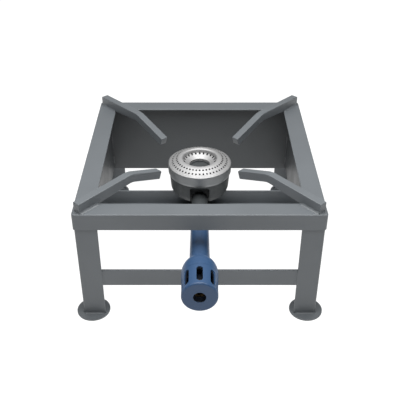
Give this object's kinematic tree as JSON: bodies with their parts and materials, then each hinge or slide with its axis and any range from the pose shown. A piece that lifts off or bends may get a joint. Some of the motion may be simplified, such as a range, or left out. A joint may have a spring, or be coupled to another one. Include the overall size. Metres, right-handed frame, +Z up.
{
  "type": "gas burner stand",
  "caption": "Low square steel frame on angle legs with corner pot arms, a wind guard, and a round perforated gas burner fed by a straight tube with a slotted air mixer.",
  "frame": {"origin": "on the floor under the burner's axis, which is the middle of the square frame", "axes": "+Z up, the mixer and gas inlet point to -Y, +X to the right when the mixer points at the viewer"},
  "size_m": [0.426, 0.5205, 0.2318],
  "materials": {
    "grey_paint": "satin grey paint",
    "guard_paint": "satin darker grey paint",
    "cast_iron": "dark grey cast surface",
    "head_ring_steel": "turned grey metal",
    "port_plate_steel": "bright pressed metal",
    "blue_enamel": "satin blue paint",
    "brass": "dull, tarnished brass",
    "zinc": "zinc plated"
  },
  "bodies": {
    "stand": {"burner_body": "cast_iron", "burner_bolt_washers": "zinc", "burner_bolts": "zinc", "burner_support_bar": "grey_paint", "foot_front_left": "grey_paint", "foot_front_right": "grey_paint", "foot_rear_left": "grey_paint", "foot_rear_right": "grey_paint", "front_lower_bar": "grey_paint", "front_rail": "grey_paint", "gas_jet": "brass", "left_lower_bar": "grey_paint", "left_rail": "grey_paint", "left_wind_guard": "guard_paint", "leg_front_left": "grey_paint", "leg_front_right": "grey_paint", "leg_rear_left": "grey_paint", "leg_rear_right": "grey_paint", "mixing_tube": "blue_enamel", "mixing_tube_screw": "zinc", "nozzle_holder": "brass", "pot_arm_front_left": "grey_paint", "pot_arm_front_right": "grey_paint", "pot_arm_rear_left": "grey_paint", "pot_arm_rear_right": "grey_paint", "rear_lower_bar": "grey_paint", "rear_rail": "grey_paint", "rear_wind_guard": "guard_paint", "right_lower_bar": "grey_paint", "right_rail": "grey_paint", "right_wind_guard": "guard_paint"},
    "burner_head": {"burner_head_ring": "head_ring_steel", "burner_port_plate": "port_plate_steel"},
    "air_shutter": {"air_shutter": "blue_enamel", "air_shutter_lock_screw": "zinc"}
  },
  "joints": [
    {"name": "burner_head_lift", "type": "slide", "parent": "stand", "child": "burner_head", "axis": [0, 0, 1], "range_m": [0, 0.08]},
    {"name": "air_shutter_turn", "type": "hinge", "parent": "stand", "child": "air_shutter", "pos_m": [0, -0.281, 0.132], "axis": [0, -1, 0], "range_deg": [0, 22.5]}
  ]
}
